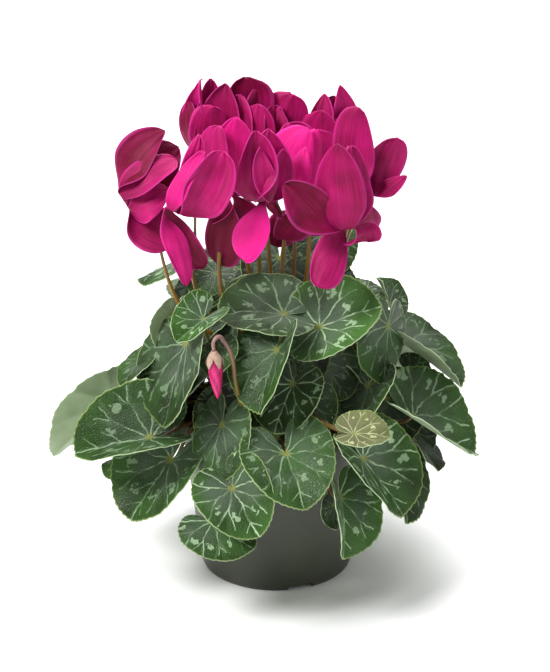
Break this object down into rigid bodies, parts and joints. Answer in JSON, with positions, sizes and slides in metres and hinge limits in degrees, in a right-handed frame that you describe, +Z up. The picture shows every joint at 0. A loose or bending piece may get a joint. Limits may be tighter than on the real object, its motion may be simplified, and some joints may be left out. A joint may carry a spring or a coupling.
{
  "type": "potted cyclamen",
  "caption": "Florist's cyclamen in a plain round plastic grow pot: nodding swept-back flowers on hooked stems over a mound of rounded, lobed leaves.",
  "frame": {"origin": "centre of the pot's underside, on the plane the pot stands on", "axes": "+Z up, along the pot's axis; -Y towards the side the plant is seen from, with the bud to its left; +X to that side's right"},
  "size_m": [0.2502, 0.2292, 0.2972],
  "materials": {
    "pot_plastic": "injection-moulded polypropylene, dark olive grey, satin",
    "potting_soil": "damp peat and bark crumbs",
    "corm": "corky brown skin",
    "petal": "soft magenta petal, faintly velvety",
    "flower_stalk": "smooth fleshy stalk, brownish olive",
    "leaf": "waxy deep green with pale veins and blotches"
  },
  "bodies": {
    "root": {"pot": "pot_plastic", "substrate": "potting_soil", "tuber": "corm", "flower_01": "petal", "flower_02": "petal", "flower_03": "petal", "flower_04": "petal", "flower_05": "petal", "flower_06": "petal", "flower_07": "petal", "flower_08": "petal", "flower_09": "petal", "flower_10": "petal", "flower_11": "petal", "flower_12": "petal", "bud": "flower_stalk", "leaf_01": "leaf", "leaf_02": "leaf", "leaf_03": "leaf", "leaf_04": "leaf", "leaf_05": "leaf", "leaf_06": "leaf", "leaf_07": "leaf", "leaf_08": "leaf", "leaf_09": "leaf", "leaf_10": "leaf", "leaf_11": "leaf", "leaf_12": "leaf", "leaf_13": "leaf", "leaf_14": "leaf", "leaf_15": "leaf", "leaf_16": "leaf", "leaf_17": "leaf", "leaf_18": "leaf", "leaf_19": "leaf", "leaf_20": "leaf", "leaf_21": "leaf", "leaf_22": "leaf", "leaf_23": "leaf", "leaf_24": "leaf", "leaf_25": "leaf", "leaf_26": "leaf", "leaf_27": "leaf", "leaf_28": "leaf", "leaf_29": "leaf", "leaf_30": "leaf", "leaf_31": "leaf", "leaf_32": "leaf", "leaf_33": "leaf", "leaf_34": "leaf", "leaf_35": "leaf", "leaf_36": "leaf", "leaf_37": "leaf", "leaf_38": "leaf", "leaf_39": "leaf", "leaf_40": "leaf", "leaf_41": "leaf", "leaf_42": "leaf", "leaf_43": "leaf", "leaf_44": "leaf"}
  },
  "joints": []
}
